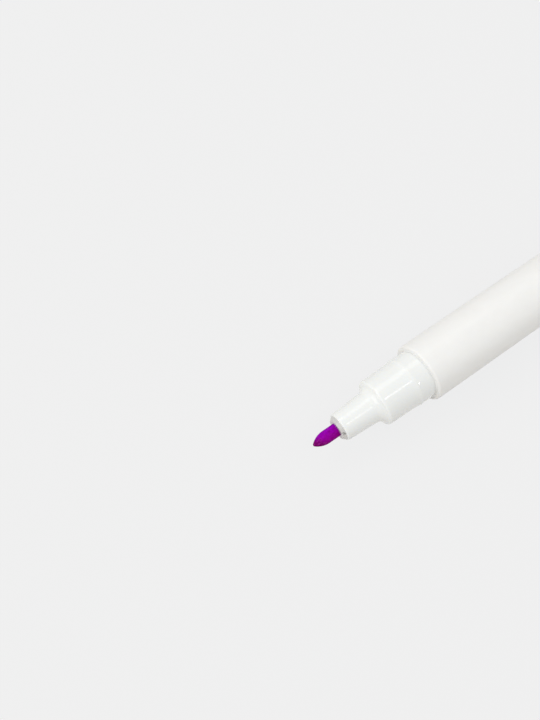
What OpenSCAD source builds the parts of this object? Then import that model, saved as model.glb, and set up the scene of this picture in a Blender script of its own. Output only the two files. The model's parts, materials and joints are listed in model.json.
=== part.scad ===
// Double-ended marker, uncapped at its broad end, with that end's cap posted on the far cap.
// It lies along X with the broad nib towards -X and +Z up. Sizes are in millimetres.
// The origin is on the axis, half way along the barrel.

/* [Barrel] */
// Outside diameter of the barrel
barrel_d = 9.5; // [9:0.1:12]
// Length of the barrel from lip to lip
barrel_length = 80; // [60:1:110]
// Wall of the barrel around its bore
barrel_wall = 0.91; // [0.7:0.01:1.05]
// Rounding of the lip's outer edge
lip_round = 0.37; // [0.2:0.01:0.45]
// Rounding of the bore's mouth, which leads the nose in
bore_lead = 0.06; // [0.05:0.01:0.12]
// Number of ribs in the bore that centre the reservoir and let air pass
rib_count = 6; // [3:1:8]
// Width of each rib
rib_width = 0.6; // [0.4:0.1:1]

/* [Nose] */
// Distance from the barrel's lip to the nozzle's front face
nose_length = 15.2; // [14:0.1:18]
// Length of the skirt pressed into the barrel
skirt_length = 8; // [6:0.5:12]
// Step from the skirt up to the collar, which sits on the barrel's lip
seat_step = 0.14; // [0.1:0.01:0.2]
// Length of the collar that stands out of the barrel, bead included
collar_length = 3; // [2.6:0.1:4]
// Length of the snap bead along the axis
bead_width = 1.6; // [1:0.1:2]
// Height of the snap bead above the collar
bead_height = 0.04; // [0.02:0.01:0.08]
// Number of pips on the snap bead
pip_count = 3; // [2:1:6]
// Diameter of each pip
pip_d = 0.4; // [0.35:0.05:0.6]
// Diameter of each pip's flat top
pip_top_d = 0.32; // [0.2:0.02:0.34]
// Height of each pip above the bead, less than the caps' clearance
pip_height = 0.03; // [0.01:0.005:0.035]
// Distance of the pips behind the collar's front edge
pip_setback = 0.75; // [0.4:0.05:1]
// Turn of the first pip about the nose's own axis
pip_angle = -25; // [-180:1:180]
// Step down from the collar to the grip stretch
grip_step = 0.08; // [0.04:0.01:0.16]
// Loss of radius along the grip stretch
grip_taper = 0.13; // [0:0.01:0.3]
// Distance from the barrel's lip to the edge of the shoulder
shoulder_reach = 8.2; // [7:0.1:9.5]
// Length of the shoulder's cone along the axis
shoulder_run = 0.5; // [0.3:0.05:1]
// Rounding of the shoulder's outer edge
shoulder_edge = 0.4; // [0.2:0.05:0.5]
// Radius of the fillet between the shoulder and the nozzle
shoulder_fillet = 1.6; // [0.8:0.1:1.7]
// Diameter of the nozzle at the shoulder
nozzle_base_d = 5.04; // [4.7:0.02:5.4]
// Diameter of the nozzle at its front rim
nozzle_tip_d = 4.44; // [4.3:0.02:4.6]
// Rounding of the nozzle's front rim
rim_round = 0.16; // [0.1:0.01:0.2]
// Diameter of the flat front face
tip_face_d = 3.24; // [2.8:0.02:3.6]
// Length of the cone between the rim and the front face
tip_cone = 0.52; // [0.4:0.02:1]
// Wall of the hollow skirt
nose_wall = 0.8; // [0.6:0.05:1]
// Number of air vents beside the nib
vent_count = 2; // [1:1:4]
// Diameter of each air vent
vent_d = 0.5; // [0.3:0.05:0.5]
// Distance of the air vents from the axis
vent_offset = 1.74; // [1.6:0.02:1.76]
// Turn of the first vent about the nose's own axis
vent_angle = -43; // [-180:1:180]

/* [Broad nib] */
// Diameter of the fibre nib
nib_d = 2.02; // [1.8:0.02:2.3]
// Length of nib in front of the nozzle
nib_stickout = 4.2; // [3:0.1:6]
// Length of the bullet point
nib_point = 2.42; // [1.6:0.02:2.8]
// Radius of the rounded tip
nib_tip_round = 0.2; // [0.1:0.05:0.3]

/* [Fine nib] */
// Outside diameter of the steel sleeve
sleeve_d = 1.5; // [1.3:0.05:1.8]
// Wall of the sleeve
sleeve_wall = 0.25; // [0.15:0.05:0.3]
// Length of sleeve in front of the nozzle
sleeve_stickout = 2.4; // [1:0.1:3.5]
// Length of sleeve held inside the nozzle
sleeve_grip = 6; // [4:0.5:7]
// Length of tip in front of the sleeve
fine_stickout = 0.8; // [0.5:0.1:1.2]
// Diameter of the writing point
fine_tip_d = 0.4; // [0.3:0.05:0.5]

/* [Ink reservoir] */
// Diameter of the fibre rod
reservoir_d = 7; // [6:0.1:7.5]
// Thickness of the film around the rod
film_thickness = 0.1; // [0.05:0.01:0.2]
// Length of each nib's tail inside the rod
wick_depth = 8; // [4:0.5:14]

/* [Caps] */
// Wall of the cap around its bore, thick enough to stand a little proud of the barrel
cap_wall = 0.9; // [0.85:0.05:1.1]
// Space between the longer nib and the floor of the seal cup
nib_room = 0.9; // [0.5:0.1:2]
// Wall of the seal cup
seal_wall = 0.6; // [0.4:0.05:0.8]
// Thickness of the seal cup's floor and flange
seal_floor = 0.8; // [0.6:0.1:1.2]
// Thickness of the ring in the cap that the seal's flange sits on
seat_ring = 0.8; // [0.5:0.1:1.2]
// Length of the plug's skirt inside the cap
plug_skirt = 2.6; // [2:0.1:4]
// Wall of the hollow plug
plug_wall = 0.9; // [0.7:0.05:1.2]
// Thickness of the plug's end
plug_end = 1.2; // [0.8:0.1:2]
// Diameter of each air hole in the plug's end
air_hole_d = 1.2; // [0.8:0.1:1.4]
// Distance of the air holes from the axis
air_hole_offset = 1.5; // [1.2:0.1:1.7]
// Number of air paths past the seal and out of the plug
air_paths = 3; // [2:1:4]
// Width of each air path past the seal
air_slot = 1.4; // [1:0.1:2]
// Rounding of the cap's edges
cap_round = 0.15; // [0.1:0.05:0.2]
// Number of grip flutes around the cap
flute_count = 24; // [12:2:30]
// Depth of a flute
flute_depth = 0.18; // [0.1:0.02:0.25]
// Radius of a flute's round floor
flute_radius = 0.45; // [0.3:0.05:0.5]
// Length of the flutes
flute_length = 9; // [5:0.5:12]
// Distance of the flutes from the cap's closed end
flute_inset = 2; // [1:0.5:4]

/* [Fits] */
// Radial gap between a cap and what it slides on
cap_clear = 0.06; // [0.04:0.01:0.1]
// Radial gap between pieces pressed together
press_clear = 0.02; // [0.01:0.01:0.04]
// Gap along the axis between pieces that butt together
butt_clear = 0.02; // [0.01:0.01:0.05]
// Visible gap between a cap's rim and what it closes against
rim_gap = 0.1; // [0.05:0.05:0.3]

/* [Hidden] */
$fn = 96;
arc_steps = 10;
overcut = 1;

barrel_r = barrel_d / 2;
bore_r = barrel_r - barrel_wall;

skirt_r = bore_r - press_clear;
collar_r = skirt_r + seat_step;
bead_r = collar_r + bead_height;
grip_r = collar_r - grip_step;
shoulder_r = grip_r - grip_taper;
nozzle_base_r = nozzle_base_d / 2;
nozzle_tip_r = nozzle_tip_d / 2;
nozzle_start = shoulder_reach + shoulder_run;
nozzle_rim = nose_length - tip_cone;
rim_land = 0.02;
rim_r = nozzle_tip_r - rim_round - rim_land;
tip_edge = 0.08;
bead_edge = 0.25;
pip_root = nose_wall / 2;
skirt_lead = 0.3;
chamber_r = skirt_r - nose_wall;
chamber_cone = 2;
roof_setback = 1.5;
chamber_roof = shoulder_reach - roof_setback;
cone_start = chamber_roof - chamber_cone;

nib_r = nib_d / 2;
nib_bore_r = nib_r + press_clear;
nib_tail_lead = 0.4;
point_steps = 16;
tip_angles = [30, 15];

sleeve_r = sleeve_d / 2;
sleeve_bore_r = sleeve_r + press_clear;
sleeve_crimp = 0.12;
sleeve_crimp_length = 0.5;
sleeve_seat = nose_length - sleeve_grip;
fine_r = sleeve_r - sleeve_wall - press_clear;
fine_bore_r = fine_r + press_clear;
fine_tip_r = fine_tip_d / 2;
fine_cone_share = 0.6;
fine_cone = fine_stickout * fine_cone_share;

reservoir_r = reservoir_d / 2;
film_bore_r = reservoir_r + press_clear;
film_r = film_bore_r + film_thickness;
reservoir_end = skirt_length + butt_clear;
reservoir_length = barrel_length - 2 * reservoir_end;
wick_end = reservoir_end + wick_depth;
rib_r = film_r + press_clear;
rib_embed = barrel_wall / 2;

longest_stickout = max(nib_stickout, sleeve_stickout + fine_stickout);
cap_bore_r = bead_r + cap_clear;
cap_r = cap_bore_r + cap_wall;
cap_floor = nose_length + longest_stickout + nib_room;
flange_front = cap_floor + butt_clear;
flange_back = flange_front + seal_floor;
plug_front = flange_back + butt_clear;
cap_length = plug_front + plug_skirt;
post_end = cap_length + shoulder_reach;
seal_mouth = nozzle_start + shoulder_fillet;
seal_r = nozzle_base_r + cap_clear + seal_wall;
seal_lead = seal_wall / 3;
seal_tip_r = nozzle_tip_r + cap_clear;
ring_hole_r = seal_r + press_clear;
flange_r = cap_bore_r - press_clear;
post_cavity_r = shoulder_r - plug_wall;
air_slot_reach = cap_bore_r + cap_round;
flute_start = cap_length - flute_inset - flute_length;

front_lip_x = -barrel_length / 2;
rear_lip_x = barrel_length / 2;
rear_cap_x = rear_lip_x + rim_gap;
front_cap_x = rear_cap_x + cap_length + rim_gap;

shell_white = "#F4F4F1";
nose_white = "#EEF2EF";
ink_purple = "#8E0FA6";
seal_white = "#E4E6E4";
film_clear = "#DCE6EC";
steel_grey = "#B9BDC2";

function unit(v) = v / norm(v);
function flat(p) = [p.x, p.y];

// Points of the arc that rounds the corner b between the lines to a and to c
function corner(a, b, c, radius) =
    let (u = unit(a - b))
    let (v = unit(c - b))
    let (half = acos(u * v) / 2)
    let (centre = b + unit(u + v) * radius / sin(half))
    let (start = b + u * radius / tan(half) - centre)
    let (end = b + v * radius / tan(half) - centre)
    let (first = atan2(start.y, start.x))
    let (sweep = (atan2(end.y, end.x) - first + 540) % 360 - 180)
    [for (i = [0:arc_steps]) centre + radius * direction(first + sweep * i / arc_steps)];

function direction(angle) = [cos(angle), sin(angle)];

// Closed outline through corners given as [radius, height, rounding]
function outline(corners) =
    let (n = len(corners))
    [
        for (i = [0:n - 1])
            let (before = flat(corners[(i + n - 1) % n]))
            let (here = flat(corners[i]))
            let (after = flat(corners[(i + 1) % n]))
            each corners[i].z > 0 ? corner(before, here, after, corners[i].z) : [here]
    ];

// Radius of a bullet point at a distance behind its sharp end
function bullet(radius, length, distance) =
    let (swing = (radius * radius + length * length) / (2 * radius))
    sqrt(swing * swing - pow(length - distance, 2)) + radius - swing;

// Radius of the nozzle's tapered side at a height above the lip
function nozzle_r(height) =
    let (share = (height - nozzle_start) / (nozzle_rim - nozzle_start))
    nozzle_base_r + (nozzle_tip_r - nozzle_base_r) * share;

module turned(corners) {
    rotate_extrude() polygon(outline(corners));
}

// Stands children on a lip: their height grows away from the barrel
module on_front_lip() {
    translate([front_lip_x, 0, 0]) rotate([0, -90, 0]) children();
}

module on_rear(x) {
    translate([x, 0, 0]) rotate([0, 90, 0]) children();
}

// Repeats children around the axis
module around(count, start = 0) {
    for (i = [0:count - 1]) rotate([0, 0, start + i * 360 / count]) children();
}

module radial_slot(reach, width, low, high) {
    translate([0, -width / 2, low]) cube([reach, width, high - low]);
}

// Collar with its snap bead and the tapered grip stretch, from the lip to the shoulder's edge
function grip_corners() = [
    [collar_r, 0, 0],
    [collar_r, collar_length - bead_width, 0],
    [bead_r, collar_length - bead_width / 4, bead_edge],
    [grip_r, collar_length, 0],
    [shoulder_r, shoulder_reach, shoulder_edge]
];

// Moulded nose, with the bore's corners listed from the front face inwards
module nose(bore_corners) {
    difference() {
        turned(concat(
            [
                [chamber_r, -skirt_length, 0],
                [skirt_r - skirt_lead, -skirt_length, 0],
                [skirt_r, skirt_lead * 2 - skirt_length, 0],
                [skirt_r, 0, 0]
            ],
            grip_corners(),
            [
                [nozzle_base_r, nozzle_start, shoulder_fillet],
                [nozzle_tip_r, nozzle_rim, rim_round],
                [rim_r, nozzle_rim, 0],
                [tip_face_d / 2, nose_length, tip_edge]
            ],
            bore_corners,
            [[chamber_r, cone_start, 0]]
        ));
        around(vent_count, vent_angle) {
            translate([vent_offset, 0, cone_start])
                cylinder(d = vent_d, h = nose_length + overcut - cone_start);
        }
    }
    around(pip_count, pip_angle) {
        translate([bead_r, 0, collar_length - pip_setback]) pip();
    }
}

// Flat-topped pip on the bead, pointing along X from the bead's crest
module pip() {
    rotate([0, 90, 0]) {
        cylinder(d1 = pip_d, d2 = pip_top_d, h = pip_height);
        translate([0, 0, -pip_root]) cylinder(d = pip_d, h = pip_root);
    }
}

module barrel() {
    color(shell_white) {
        on_rear(front_lip_x) {
            turned([
                [bore_r, 0, bore_lead],
                [barrel_r, 0, lip_round],
                [barrel_r, barrel_length, lip_round],
                [bore_r, barrel_length, bore_lead]
            ]);
            around(rib_count) {
                translate([rib_r, -rib_width / 2, reservoir_end])
                    cube([bore_r + rib_embed - rib_r, rib_width, reservoir_length]);
            }
        }
    }
}

module front_nose() {
    color(nose_white) on_front_lip() {
        nose([[nib_bore_r, nose_length, 0], [nib_bore_r, chamber_roof, 0]]);
    }
}

module front_nib() {
    tip = nose_length + nib_stickout;
    blunt = nib_tip_round * (sqrt(2) - 1);
    point_start = nib_tip_round;
    color(ink_purple) on_front_lip() rotate_extrude() polygon(concat(
        [
            [0, -wick_end],
            [nib_r - nib_tail_lead, -wick_end],
            [nib_r, nib_tail_lead - wick_end]
        ],
        [
            for (i = [0:point_steps])
                let (distance = nib_point + (point_start - nib_point) * i / point_steps)
                [bullet(nib_r, nib_point, distance), tip + blunt - distance]
        ],
        [
            for (angle = tip_angles)
                [nib_tip_round * sin(angle), tip - nib_tip_round * (1 - cos(angle))]
        ],
        [[0, tip]]
    ));
}

module rear_nose() {
    color(nose_white) on_rear(rear_lip_x) {
        nose([
            [sleeve_bore_r, nose_length, 0],
            [sleeve_bore_r, sleeve_seat, 0],
            [fine_bore_r, sleeve_seat, 0],
            [fine_bore_r, chamber_roof, 0]
        ]);
    }
}

module rear_nib_sleeve() {
    front = nose_length + sleeve_stickout;
    back = sleeve_seat + butt_clear;
    color(steel_grey) on_rear(rear_lip_x) turned([
        [fine_bore_r, back, 0],
        [sleeve_r, back, 0],
        [sleeve_r, front - sleeve_crimp_length, 0],
        [sleeve_r - sleeve_crimp, front, 0],
        [fine_bore_r, front, 0]
    ]);
}

module rear_nib() {
    tip = nose_length + sleeve_stickout + fine_stickout;
    color(ink_purple) on_rear(rear_lip_x) turned([
        [0, -wick_end, 0],
        [fine_r, -wick_end, 0],
        [fine_r, tip - fine_cone, 0],
        [fine_tip_r, tip, fine_tip_r / 2],
        [0, tip, 0]
    ]);
}

module ink_reservoir() {
    pocket_depth = wick_depth + butt_clear;
    color(ink_purple) on_rear(front_lip_x + reservoir_end) difference() {
        cylinder(r = reservoir_r, h = reservoir_length);
        translate([0, 0, -overcut]) cylinder(r = nib_bore_r, h = pocket_depth + overcut);
        translate([0, 0, reservoir_length - pocket_depth])
            cylinder(r = fine_bore_r, h = pocket_depth + overcut);
    }
}

module reservoir_film() {
    color(film_clear) on_rear(front_lip_x + reservoir_end) difference() {
        cylinder(r = film_r, h = reservoir_length);
        translate([0, 0, -overcut]) cylinder(r = film_bore_r, h = reservoir_length + 2 * overcut);
    }
}

// Cap shell from its mouth at height 0: open at both ends, with a ring that seats the seal
module cap() {
    difference() {
        turned([
            [cap_bore_r, 0, cap_round],
            [cap_r, 0, cap_round],
            [cap_r, cap_length, cap_round * 2],
            [cap_bore_r, cap_length, 0],
            [cap_bore_r, cap_floor, 0],
            [ring_hole_r, cap_floor, 0],
            [ring_hole_r, cap_floor - seat_ring, 0],
            [cap_bore_r, cap_floor - seat_ring, 0]
        ]);
        around(air_paths) {
            radial_slot(air_slot_reach, air_slot, cap_floor - seat_ring - cap_round, cap_floor + cap_round);
        }
        around(flute_count) {
            translate([cap_r + flute_radius - flute_depth, 0, flute_start])
                cylinder(r = flute_radius, h = flute_length, $fn = 32);
        }
    }
}

// Soft cup that closes over the nozzle, with a flange behind it notched for air
module cap_seal() {
    difference() {
        turned([
            [0, flange_front, 0],
            [seal_tip_r, flange_front, 0],
            [seal_tip_r, nose_length, 0],
            [nozzle_r(seal_mouth) + cap_clear, seal_mouth, 0],
            [seal_r - seal_lead, seal_mouth, 0],
            [seal_r, seal_mouth + seal_lead * 2, 0],
            [seal_r, flange_front, 0],
            [flange_r, flange_front, 0],
            [flange_r, flange_back, 0],
            [0, flange_back, 0]
        ]);
        around(air_paths) translate([ring_hole_r, 0, 0])
            radial_slot(cap_bore_r, air_slot, cap_floor, flange_back);
    }
}

// Hollow end plug: a skirt inside the cap, and a post shaped like the nose's grip for the other cap
module cap_plug() {
    difference() {
        turned(concat(
            [
                [0, post_end - plug_end, 0],
                [post_cavity_r, post_end - plug_end, 0],
                [post_cavity_r, plug_front, 0],
                [flange_r, plug_front, 0],
                [flange_r, cap_length, 0],
                [skirt_r, cap_length, 0]
            ],
            [for (c = grip_corners()) c + [0, cap_length, 0]],
            [[0, post_end, 0]]
        ));
        around(air_paths) translate([air_hole_offset, 0, post_end - plug_end - overcut])
            cylinder(d = air_hole_d, h = plug_end + 2 * overcut);
    }
}

module rear_cap() {
    color(shell_white) on_rear(rear_cap_x) cap();
}

module rear_cap_seal() {
    color(seal_white) on_rear(rear_cap_x) cap_seal();
}

module rear_cap_plug() {
    color(ink_purple) on_rear(rear_cap_x) cap_plug();
}

module front_cap() {
    color(shell_white) on_rear(front_cap_x) cap();
}

module front_cap_seal() {
    color(seal_white) on_rear(front_cap_x) cap_seal();
}

module front_cap_plug() {
    color(ink_purple) on_rear(front_cap_x) cap_plug();
}

barrel();
front_nose();
front_nib();
rear_nose();
rear_nib_sleeve();
rear_nib();
ink_reservoir();
reservoir_film();
rear_cap();
rear_cap_seal();
rear_cap_plug();
front_cap();
front_cap_seal();
front_cap_plug();
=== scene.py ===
# Looks of the double-ended marker: its materials, its fibre nib, the light, the floor and the camera.
# The marker lies along X with its broad nib towards -X. Lengths are in metres.
import json
import math

import bpy
from mathutils import Matrix, Vector, noise


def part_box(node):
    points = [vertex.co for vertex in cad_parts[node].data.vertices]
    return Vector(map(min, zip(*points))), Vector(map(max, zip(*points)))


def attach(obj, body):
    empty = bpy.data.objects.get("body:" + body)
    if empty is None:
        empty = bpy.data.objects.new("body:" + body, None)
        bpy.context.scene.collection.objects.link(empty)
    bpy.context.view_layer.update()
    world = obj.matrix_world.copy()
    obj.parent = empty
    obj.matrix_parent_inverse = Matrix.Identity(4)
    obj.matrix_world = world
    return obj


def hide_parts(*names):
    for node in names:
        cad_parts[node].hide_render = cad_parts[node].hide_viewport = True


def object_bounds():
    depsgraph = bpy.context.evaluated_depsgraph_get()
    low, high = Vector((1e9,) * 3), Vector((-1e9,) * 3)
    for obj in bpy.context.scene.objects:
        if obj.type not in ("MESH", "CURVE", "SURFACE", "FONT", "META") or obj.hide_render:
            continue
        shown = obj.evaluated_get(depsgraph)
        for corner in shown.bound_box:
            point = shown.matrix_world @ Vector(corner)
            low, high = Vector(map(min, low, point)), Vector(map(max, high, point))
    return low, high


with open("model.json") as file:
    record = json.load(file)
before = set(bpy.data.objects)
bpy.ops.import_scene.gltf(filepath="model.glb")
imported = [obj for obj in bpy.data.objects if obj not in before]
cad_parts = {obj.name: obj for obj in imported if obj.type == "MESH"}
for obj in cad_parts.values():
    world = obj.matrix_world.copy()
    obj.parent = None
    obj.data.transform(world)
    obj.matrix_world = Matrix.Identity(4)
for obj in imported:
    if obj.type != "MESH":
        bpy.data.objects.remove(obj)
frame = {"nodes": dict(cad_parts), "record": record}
cad_low, cad_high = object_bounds()

MM = 0.001
X_AXIS = Vector((1, 0, 0))

# Camera, fitted to the photograph's view of the barrel, nose and nib
PHOTO_HEIGHT_PX = 720
FOCAL_PX = 560
SENSOR_MM = 36
NEAR_CLIP = 1 * MM
CAMERA_AZIMUTH = math.radians(-34.33)
CAMERA_ELEVATION = math.radians(69.85)
LIP_SEEN_FROM_CAMERA = Vector((22.19, -2.06, -84.15)) * MM

# Backdrop and floor, as they show behind the marker
BACKDROP_GREY = 0.863
FLOOR_WIDTH = 4
FLOOR_COLOUR = (0.51, 0.475, 0.43, 1)
FLOOR_ROUGHNESS = 0.9
FLOOR_GLOW = (0.924, 0.93, 0.938, 1)
FLOOR_GLOW_SHARE = 0.86
FLOOR_FADE_START = 0.2
FLOOR_FADE_END = 0.6

# Light: each lamp has a direction from the nose in degrees, a distance, a size and its light's level there
WORLD_LEVEL = 0.77
NOSE_X = -48 * MM
LAMPS = {
    "softbox": {"lean": 37, "slant": 0, "distance": 0.6, "size": (0.7, 0.25), "level": 0.585},
    "front_fill": {"lean": 21, "slant": 64, "distance": 0.6, "size": (0.42, 0.42), "level": 0.8},
    "strip": {"lean": -17.5, "slant": -13, "distance": 0.31, "size": (0.09, 0.03), "level": 0.11},
    "glint": {"lean": -43.7, "slant": -22.9, "distance": 0.356, "size": (0.02, 0.02), "level": 0.025},
}

# Noise of the materials: its usual range, and the size of its grains along and across the marker's axis
NOISE_LOW = 0.3
NOISE_HIGH = 0.7
CLOUDING = (2.6 * MM, 1.4 * MM)
FLOW_LINES = (9 * MM, 0.35 * MM)
RIPPLE = (1.9 * MM, 0.9 * MM)
MOULD_GRAIN = (0.09 * MM, 0.06 * MM)
STRANDS = (1.4 * MM, 0.07 * MM)
BLOTCHES = (0.7 * MM, 0.45 * MM)
FLECKS = (0.32 * MM, 0.22 * MM)
DRAWN_LINES = (0.03 * MM, 1.2 * MM)
TARNISH = (1.1 * MM, 0.9 * MM)
WRINKLES = (7 * MM, 0.5 * MM)

# Moulded plastics: two close colours, range of roughness, depths of relief and share of light that soaks in
GLOW_REACH = 0.5 * MM
GLOW_COLOUR = (1.0, 0.9, 0.75)
PLASTICS = {
    "barrel_white": {
        "colour": (0.89, 0.888, 0.868, 1), "shade": (0.872, 0.868, 0.845, 1), "roughness": (0.34, 0.42),
        "ripple_depth": 0.004 * MM, "grain_depth": 0.0012 * MM, "glow": 0.12,
    },
    "cap_white": {
        "colour": (0.888, 0.886, 0.866, 1), "shade": (0.868, 0.865, 0.842, 1), "roughness": (0.3, 0.4),
        "ripple_depth": 0.004 * MM, "grain_depth": 0.0012 * MM, "glow": 0.12,
    },
    "nose_white": {
        "colour": (0.882, 0.898, 0.882, 1), "shade": (0.868, 0.882, 0.862, 1), "roughness": (0.04, 0.08),
        "ripple_depth": 0.002 * MM, "grain_depth": 0.0002 * MM, "glow": 0.16,
    },
    "seal_white": {
        "colour": (0.79, 0.8, 0.79, 1), "shade": (0.76, 0.77, 0.75, 1), "roughness": (0.42, 0.55),
        "ripple_depth": 0.004 * MM, "grain_depth": 0.001 * MM, "glow": 0.3,
    },
    "plug_purple": {
        "colour": (0.27, 0.008, 0.38, 1), "shade": (0.24, 0.006, 0.34, 1), "roughness": (0.14, 0.22),
        "ripple_depth": 0.003 * MM, "grain_depth": 0.0002 * MM, "glow": 0.05,
    },
    "fine_tip": {
        "colour": (0.25, 0.02, 0.33, 1), "shade": (0.16, 0.008, 0.22, 1), "roughness": (0.2, 0.32),
        "ripple_depth": 0.002 * MM, "grain_depth": 0.0004 * MM, "glow": 0.05,
    },
}

# Fibres soaked in ink: their colours, with painted light and shade on their sides, and how far the dark
# front end of their node reaches, which is ink and painted shade
# Painted light and shade: the fibre is violet towards +Y and redder towards -Y, between these two places
SHADED_SIDE_Y = -0.8 * MM
LIT_SIDE_Y = 0.6 * MM
SOAK_AND_SHADE_LINE = (1, 0.7, 0)
STRAND_DEPTH = 0.012 * MM
INK_FIBRES = {
    "nib_fibre": {
        "lit_side_colour": (0.325, 0.0003, 0.475, 1), "shaded_side_colour": (0.29, 0.0006, 0.26, 1),
        "dark": (0.155, 0.001, 0.09, 1), "fleck": (0.36, 0.022, 0.31, 1),
        "node": "front_nib", "soak_and_shade_reach": 1.7 * MM,
    },
    "reservoir_fibre": {
        "lit_side_colour": (0.26, 0.006, 0.36, 1), "shaded_side_colour": (0.2, 0.005, 0.28, 1),
        "dark": (0.1, 0.002, 0.14, 1), "fleck": (0.3, 0.02, 0.4, 1),
        "node": "ink_reservoir", "soak_and_shade_reach": 1 * MM,
    },
}

# Steel sleeve and clear film
STEEL_COLOUR = (0.62, 0.63, 0.65, 1)
TARNISH_SHADE = 0.86
DRAWN_DEPTH = 0.002 * MM
FILM_COLOUR = (0.8, 0.84, 0.88, 1)
FILM_ALPHA = 0.35
FILM_MILKINESS = 1.08
WRINKLE_DEPTH = 0.02 * MM

# Front ends of the noses: grey beyond the rim, and darker and pinkish close to the nib
TIP_CONE = 0.52 * MM
TIP_FADE = 0.03 * MM
TIP_GREY = (0.605, 0.597, 0.575, 1)
NEAR_NIB_TINT = (0.57, 0.52, 0.55, 1)
NEAR_NIB_TINT_START = 1.05 * MM
NEAR_NIB_TINT_END = 1.5 * MM

# Solids: edges up to this angle are shaded smooth
CREASE_ANGLE = math.radians(28)
WELD_DISTANCE = 0.001 * MM

# Broad nib: its outline, its rings and the relief of its fibres
NIB_POINT = 2.42 * MM
NIB_TIP_ROUND = 0.34 * MM
NIB_WEAR = 0.058 * MM
NIB_SIDES = 160
NIB_TIP_RING_DEGREES = (12, 24, 36, 48, 60, 72)
NIB_RING_GAP = 0.04 * MM
NIB_SHOWN_LENGTH = 5.4 * MM
NIB_TAIL_LEAD = 0.4 * MM
FIBRE_WIDTH = 0.09 * MM
FIBRE_LENGTH = 1.6 * MM
FIBRE_DEPTH = 0.018 * MM
STRAND_SHARE = 0.6
TUFT_SCALE = 0.37
TUFT_SHIFT = Vector((7, 3, 5))


# Node building


class Surface:
    """A material with one principled shader, and short ways to add and join nodes."""

    def __init__(self, name, **values):
        self.material = bpy.data.materials.new(name)
        self.material.use_nodes = True
        self.tree = self.material.node_tree
        self.shader = self.tree.nodes["Principled BSDF"]
        self.place = self.add("ShaderNodeTexCoord").outputs["Object"]
        for socket, value in values.items():
            self.set(socket.replace("_", " "), value)

    def add(self, kind, inputs=(), **settings):
        """A new node with those inputs, each a value or another node's output."""
        node = self.tree.nodes.new(kind)
        for key, value in settings.items():
            setattr(node, key, value)
        for key, value in dict(inputs).items():
            self.join(value, node.inputs[key])
        return node

    def join(self, value, socket):
        if isinstance(value, bpy.types.NodeSocket):
            self.tree.links.new(value, socket)
        else:
            socket.default_value = value

    def set(self, socket, value):
        self.join(value, self.shader.inputs[socket])

    def grain(self, size, detail=2, rough=0.5):
        """Noise from 0 to 1 with grains of that size along and across the marker's axis."""
        along, across = size
        scale = (1 / along, 1 / across, 1 / across)
        stretched = self.add("ShaderNodeMapping", {"Vector": self.place, "Scale": scale}).outputs["Vector"]
        inputs = {"Vector": stretched, "Scale": 1, "Detail": detail, "Roughness": rough}
        return self.add("ShaderNodeTexNoise", inputs).outputs["Fac"]

    def between(self, factor, low, high, start=0.0, end=1.0):
        """A number that runs from low to high while the factor runs from start to end."""
        inputs = {"Value": factor, "From Min": start, "From Max": end, "To Min": low, "To Max": high}
        return self.add("ShaderNodeMapRange", inputs).outputs["Result"]

    def vary(self, grain, low, high):
        """A number that runs from low to high over the usual range of a noise."""
        return self.between(grain, low, high, NOISE_LOW, NOISE_HIGH)

    def mix(self, factor, first, second):
        """The first colour at factor 0, and the second at 1."""
        node = self.add("ShaderNodeMix", data_type="RGBA")
        colours = [s for s in node.inputs if s.type == "RGBA"]
        self.join(factor, node.inputs["Factor"])
        self.join(first, colours[0])
        self.join(second, colours[1])
        return next(s for s in node.outputs if s.type == "RGBA")

    def coordinate(self, axis):
        return self.add("ShaderNodeSeparateXYZ", {"Vector": self.place}).outputs[axis]

    def end_distance(self):
        """Distance along the axis from the middle of the marker."""
        return self.add("ShaderNodeMath", {0: self.coordinate("X")}, operation="ABSOLUTE").outputs["Value"]

    def axis_distance(self):
        """Distance from the marker's axis."""
        across = self.add("ShaderNodeVectorMath", {0: self.place, 1: (0, 1, 1)}, operation="MULTIPLY")
        length = self.add("ShaderNodeVectorMath", {0: across.outputs["Vector"]}, operation="LENGTH")
        return length.outputs["Value"]

    def bump(self, height, depth, strength=1.0, over=None):
        """A normal for relief of that depth, laid over another relief where one is given."""
        inputs = {"Height": height, "Distance": depth, "Strength": strength}
        if over is not None:
            inputs["Normal"] = over
        return self.add("ShaderNodeBump", inputs).outputs["Normal"]


# Materials


def moulded_plastic(name, colour, shade, roughness, ripple_depth, grain_depth, glow):
    """Moulded plastic: faint clouding, flow lines along the axis, a slow ripple and a fine grain."""
    surface = Surface(name, Subsurface_Weight=glow, Subsurface_Scale=GLOW_REACH, IOR=1.49)
    surface.set("Subsurface Radius", GLOW_COLOUR)
    cloud = surface.grain(CLOUDING, detail=4, rough=0.6)
    flow = surface.grain(FLOW_LINES, detail=3)
    smooth, rough = roughness
    surface.set("Base Color", surface.mix(surface.vary(cloud, 0, 1), colour, shade))
    surface.set("Roughness", surface.vary(flow, smooth, rough))
    ripple = surface.bump(surface.grain(RIPPLE), ripple_depth)
    surface.set("Normal", surface.bump(surface.grain(MOULD_GRAIN), grain_depth, over=ripple))
    return surface


def grey_nose_tip(surface):
    """Greys a nose beyond its rim, darker and pinkish close to the nib."""
    rim = -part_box("front_nose")[0].x - TIP_CONE
    beyond = surface.between(surface.end_distance(), 0, 1, rim, rim + TIP_FADE)
    near_nib = surface.between(surface.axis_distance(), 1, 0, NEAR_NIB_TINT_START, NEAR_NIB_TINT_END)
    clean = surface.shader.inputs["Base Color"].links[0].from_socket
    surface.set("Base Color", surface.mix(beyond, clean, surface.mix(near_nib, TIP_GREY, NEAR_NIB_TINT)))


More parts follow.
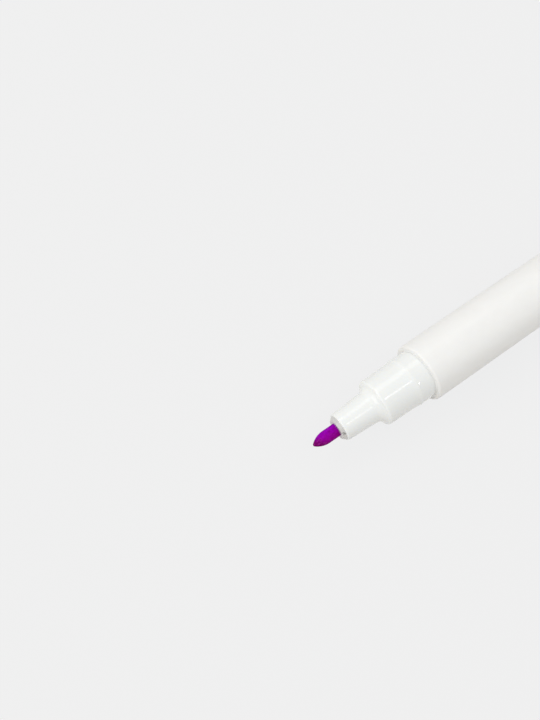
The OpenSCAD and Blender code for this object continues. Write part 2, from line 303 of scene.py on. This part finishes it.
def ink_fibre(name, lit_side_colour, shaded_side_colour, dark, fleck, node, soak_and_shade_reach):
    """Bonded fibre soaked in ink: violet on its lit side, redder on its painted shaded side, dark at its
    front end.

    Blotches, strands and flecks lie over that, and the flecks are strongest at the front end.
    """
    surface = Surface(name, IOR=1.4, Specular_IOR_Level=0.02)
    strands = surface.grain(STRANDS, detail=4, rough=0.65)
    blotches = surface.grain(BLOTCHES, detail=5, rough=0.7)
    flecks = surface.grain(FLECKS, detail=3, rough=0.6)
    # Painted shade: the -Y side takes the redder shaded-side colour, the +Y side the lit one
    painted_shade_side = surface.between(surface.coordinate("Y"), 1, 0, SHADED_SIDE_Y, LIT_SIDE_Y)
    colour = surface.mix(painted_shade_side, lit_side_colour, shaded_side_colour)
    blotch_share = surface.between(blotches, 0, 0.6, start=0.45, end=0.68)
    colour = surface.mix(blotch_share, colour, dark)
    strand_share = surface.between(strands, 0, 0.3, start=0.5, end=0.8)
    colour = surface.mix(strand_share, colour, dark)
    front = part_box(node)[0].x
    # Dark front end: ink, and painted shade where the line leans it further back on the -Y side
    line = surface.add("ShaderNodeVectorMath", {0: surface.place, 1: SOAK_AND_SHADE_LINE}, operation="DOT_PRODUCT")
    along = line.outputs["Value"]
    soaked_and_shaded = surface.between(along, 0.9, 0, start=front + 0.3 * soak_and_shade_reach, end=front + soak_and_shade_reach)
    colour = surface.mix(soaked_and_shaded, colour, dark)
    most = surface.between(along, 0.9, 0.35, start=front + 0.5 * soak_and_shade_reach, end=front + 1.2 * soak_and_shade_reach)
    fleck_share = surface.between(flecks, 0, most, start=0.52, end=0.68)
    surface.set("Base Color", surface.mix(fleck_share, colour, fleck))
    surface.set("Roughness", surface.between(strands, 0.5, 0.85, start=0.3, end=0.75))
    surface.set("Normal", surface.bump(strands, STRAND_DEPTH, strength=0.7))
    return surface


def drawn_steel(name):
    """Drawn steel tube with fine lines around it."""
    surface = Surface(name, Metallic=1.0)
    lines = surface.grain(DRAWN_LINES, detail=4)
    stain = surface.grain(TARNISH, detail=3)
    tarnished = tuple(channel * TARNISH_SHADE for channel in STEEL_COLOUR[:3]) + (1,)
    stained = surface.between(stain, 0, 1, start=0.4, end=0.75)
    surface.set("Base Color", surface.mix(stained, STEEL_COLOUR, tarnished))
    surface.set("Roughness", surface.vary(lines, 0.2, 0.36))
    surface.set("Normal", surface.bump(lines, DRAWN_DEPTH, strength=0.6))
    return surface


def clear_film(name):
    """Thin clear film, a little wrinkled along the rod that it wraps."""
    surface = Surface(name, Alpha=FILM_ALPHA, IOR=1.5)
    wrinkle = surface.grain(WRINKLES, detail=3)
    milky = tuple(min(1, channel * FILM_MILKINESS) for channel in FILM_COLOUR[:3]) + (1,)
    surface.set("Base Color", surface.mix(wrinkle, FILM_COLOUR, milky))
    surface.set("Roughness", surface.vary(wrinkle, 0.08, 0.2))
    surface.set("Normal", surface.bump(wrinkle, WRINKLE_DEPTH, strength=0.5))
    return surface


def make_materials():
    """All materials, by the record's material slots."""
    surfaces = {slot: moulded_plastic(slot, **look) for slot, look in PLASTICS.items()}
    for slot, look in INK_FIBRES.items():
        surfaces[slot] = ink_fibre(slot, **look)
    surfaces["sleeve_steel"] = drawn_steel("sleeve_steel")
    surfaces["reservoir_film"] = clear_film("reservoir_film")
    grey_nose_tip(surfaces["nose_white"])
    return {slot: surface.material for slot, surface in surfaces.items()}


# Solids carried over from the frame


def smooth_finish():
    """Geometry nodes that weld a solid's faces and shade it smooth up to the crease angle."""
    tree = bpy.data.node_groups.new("smooth_finish", "GeometryNodeTree")
    tree.interface.new_socket("Geometry", in_out="INPUT", socket_type="NodeSocketGeometry")
    tree.interface.new_socket("Geometry", in_out="OUTPUT", socket_type="NodeSocketGeometry")
    start = tree.nodes.new("NodeGroupInput")
    plain = tree.nodes.new("GeometryNodeRemoveAttribute")
    plain.inputs["Name"].default_value = "custom_normal"
    weld = tree.nodes.new("GeometryNodeMergeByDistance")
    weld.inputs["Distance"].default_value = WELD_DISTANCE
    faces = tree.nodes.new("GeometryNodeSetShadeSmooth")
    angle = tree.nodes.new("GeometryNodeInputMeshEdgeAngle")
    rounded = tree.nodes.new("FunctionNodeCompare")
    rounded.operation = "LESS_THAN"
    rounded.inputs["B"].default_value = CREASE_ANGLE
    edges = tree.nodes.new("GeometryNodeSetShadeSmooth")
    edges.domain = "EDGE"
    end = tree.nodes.new("NodeGroupOutput")
    chain = [start, plain, weld, faces, edges, end]
    for before, after in zip(chain, chain[1:]):
        tree.links.new(before.outputs["Geometry"], after.inputs["Geometry"])
    tree.links.new(angle.outputs["Unsigned Angle"], rounded.inputs["A"])
    tree.links.new(rounded.outputs["Result"], edges.inputs["Shade Smooth"])
    return tree


def dress(piece, material, finish):
    """Gives a solid its material and its smooth finish."""
    piece.data.materials.clear()
    piece.data.materials.append(material)
    modifier = piece.modifiers.new("smooth_finish", "NODES")
    modifier.node_group = finish


# Broad nib


def bullet_radius(radius, distance):
    """Radius of the bullet point at a distance behind its sharp end."""
    swing = (radius**2 + NIB_POINT**2) / (2 * radius)
    return math.sqrt(swing**2 - (NIB_POINT - distance) ** 2) + radius - swing


def nib_radius(radius, behind_tip):
    """Radius of the nib at a distance behind its rounded tip."""
    blunt = NIB_TIP_ROUND * (math.sqrt(2) - 1)
    if behind_tip + blunt >= NIB_POINT:
        return radius
    ball = math.sqrt(max(0, NIB_TIP_ROUND**2 - (NIB_TIP_ROUND - behind_tip) ** 2))
    if behind_tip < NIB_TIP_ROUND - blunt:
        return min(ball, bullet_radius(radius, behind_tip + blunt))
    return bullet_radius(radius, behind_tip + blunt)


def fibre_relief(x, radius, angle):
    """How far the fibres fall short of the nib's outline at a place, from 0 to the fibre depth."""
    across = radius / FIBRE_WIDTH
    place = Vector((x / FIBRE_LENGTH, math.cos(angle) * across, math.sin(angle) * across))
    strands = 0.5 + 0.5 * noise.noise(place)
    tufts = 0.5 + 0.5 * noise.noise(place * TUFT_SCALE + TUFT_SHIFT)
    return FIBRE_DEPTH * min(1, max(0, STRAND_SHARE * strands + (1 - STRAND_SHARE) * tufts))


def nib_rings(tip_x, end_x, radius):
    """Places along the axis and radii, from the tip to the tail."""
    near_tip = [NIB_TIP_ROUND * (1 - math.cos(math.radians(turn))) for turn in NIB_TIP_RING_DEGREES]
    count = int((NIB_SHOWN_LENGTH - NIB_TIP_ROUND) / NIB_RING_GAP)
    shown = [NIB_TIP_ROUND + NIB_RING_GAP * i for i in range(count)]
    rings = [(tip_x + d, nib_radius(radius, d)) for d in near_tip + shown]
    return rings + [(end_x - NIB_TAIL_LEAD, radius), (end_x, radius - NIB_TAIL_LEAD)]


def fibre_nib():
    """Turned mesh of the fibre nib, with its strands in relief and its tip worn back."""
    low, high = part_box("front_nib")
    radius = (high.z - low.z) / 2
    tip_x = low.x + NIB_WEAR
    rings = nib_rings(tip_x, high.x, radius)
    points = [(tip_x, 0, 0)]
    for x, ring_radius in rings:
        for side in range(NIB_SIDES):
            angle = 2 * math.pi * side / NIB_SIDES
            reach = ring_radius - fibre_relief(x, ring_radius, angle)
            points.append((x, reach * math.cos(angle), reach * math.sin(angle)))
    points.append((high.x, 0, 0))
    last = len(points) - 1
    tail = last - NIB_SIDES
    faces = []
    for side in range(NIB_SIDES):
        following = (side + 1) % NIB_SIDES
        faces.append((0, 1 + side, 1 + following))
        for ring in range(len(rings) - 1):
            near = 1 + ring * NIB_SIDES
            far = near + NIB_SIDES
            faces.append((near + side, far + side, far + following, near + following))
        faces.append((tail + following, tail + side, last))
    mesh = bpy.data.meshes.new("fibre_nib")
    mesh.from_pydata(points, [], faces)
    mesh.shade_smooth()
    piece = bpy.data.objects.new("fibre_nib", mesh)
    bpy.context.scene.collection.objects.link(piece)
    return piece


# Light, floor and camera


def light_path_factor(tree):
    """One for rays from the camera, in a reflection or through glass, and otherwise zero."""
    path = tree.nodes.new("ShaderNodeLightPath")
    factor = path.outputs["Is Camera Ray"]
    for ray in ("Is Glossy Ray", "Is Transmission Ray"):
        either = tree.nodes.new("ShaderNodeMath")
        either.operation = "MAXIMUM"
        tree.links.new(factor, either.inputs[0])
        tree.links.new(path.outputs[ray], either.inputs[1])
        factor = either.outputs["Value"]
    return factor


def light_world():
    """World that shows as the backdrop's grey and lights the marker at its own level."""
    world = bpy.data.worlds.new("studio")
    bpy.context.scene.world = world
    world.use_nodes = True
    tree = world.node_tree
    level = tree.nodes.new("ShaderNodeMapRange")
    level.inputs["To Min"].default_value = WORLD_LEVEL
    level.inputs["To Max"].default_value = BACKDROP_GREY
    tree.links.new(light_path_factor(tree), level.inputs["Value"])
    background = tree.nodes["Background"]
    background.inputs["Color"].default_value = (1, 1, 1, 1)
    tree.links.new(level.outputs["Result"], background.inputs["Strength"])


def lay_floor():
    """Pale floor under the marker: an even grey with a faint shadow, which fades into the backdrop."""
    half = FLOOR_WIDTH / 2
    corners = [(x, y, cad_low.z) for x, y in ((-half, -half), (half, -half), (half, half), (-half, half))]
    mesh = bpy.data.meshes.new("floor")
    mesh.from_pydata(corners, [], [(0, 1, 2, 3)])
    floor = bpy.data.objects.new("floor", mesh)
    bpy.context.scene.collection.objects.link(floor)
    surface = Surface("floor_paper", Base_Color=FLOOR_COLOUR, Roughness=FLOOR_ROUGHNESS)
    surface.set("Specular IOR Level", 0)
    distance = surface.add("ShaderNodeVectorMath", {0: surface.place}, operation="LENGTH").outputs["Value"]
    far = surface.between(distance, 0, 1, FLOOR_FADE_START, FLOOR_FADE_END)
    backdrop = (BACKDROP_GREY, BACKDROP_GREY, BACKDROP_GREY, 1)
    shown = surface.mix(far, FLOOR_GLOW, backdrop)
    glow = surface.add("ShaderNodeEmission", {"Color": shown, "Strength": 1})
    seen_share = surface.between(far, FLOOR_GLOW_SHARE, 1)
    share = surface.between(light_path_factor(surface.tree), 0, seen_share)
    both = surface.add("ShaderNodeMixShader", {"Fac": share})
    surface.tree.links.new(surface.shader.outputs["BSDF"], both.inputs[1])
    surface.tree.links.new(glow.outputs["Emission"], both.inputs[2])
    surface.tree.links.new(both.outputs["Shader"], surface.tree.nodes["Material Output"].inputs["Surface"])
    mesh.materials.append(surface.material)


def add_lamp(name, lean, slant, distance, size, level):
    """A flat lamp that faces the nose: lean turns it about the marker's axis, slant towards the nib.

    The first of its sizes runs along the marker.
    """
    lean = math.radians(lean)
    slant = math.radians(slant)
    rise = math.cos(slant)
    direction = Vector((-math.sin(slant), rise * math.sin(lean), rise * math.cos(lean)))
    along = (X_AXIS - direction * direction.dot(X_AXIS)).normalized()
    turn = Matrix((along, direction.cross(along), direction)).transposed().to_4x4()
    data = bpy.data.lights.new(name, "AREA")
    data.shape = "RECTANGLE"
    data.size, data.size_y = size
    data.energy = level * math.pi * distance**2
    lamp = bpy.data.objects.new(name, data)
    bpy.context.scene.collection.objects.link(lamp)
    lamp.matrix_world = Matrix.Translation(X_AXIS * NOSE_X + direction * distance) @ turn
    lamp.visible_camera = False


def place_camera():
    """Camera that sees the barrel's lip where the photograph does."""
    data = bpy.data.cameras.new("camera")
    data.sensor_width = SENSOR_MM
    data.lens = FOCAL_PX * SENSOR_MM / PHOTO_HEIGHT_PX
    data.clip_start = NEAR_CLIP
    turn = Matrix.Rotation(CAMERA_AZIMUTH, 3, "Z") @ Matrix.Rotation(math.pi / 2 - CAMERA_ELEVATION, 3, "X")
    lip = Vector((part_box("barrel")[0].x, 0, 0))
    camera = bpy.data.objects.new("camera", data)
    bpy.context.scene.collection.objects.link(camera)
    camera.matrix_world = Matrix.Translation(lip - turn @ LIP_SEEN_FROM_CAMERA) @ turn.to_4x4()
    bpy.context.scene.camera = camera


# The marker

materials = make_materials()
finish = smooth_finish()
for row in frame["record"]["subparts"]:
    dress(frame["nodes"][row["node"]], materials[row["material_slot"]], finish)

nib = fibre_nib()
nib.data.materials.append(materials["nib_fibre"])
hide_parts("front_nib")
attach(nib, "marker")

light_world()
lay_floor()
for lamp_name, lamp_values in LAMPS.items():
    add_lamp(lamp_name, **lamp_values)
place_camera()
bpy.context.scene.view_settings.view_transform = "Standard"
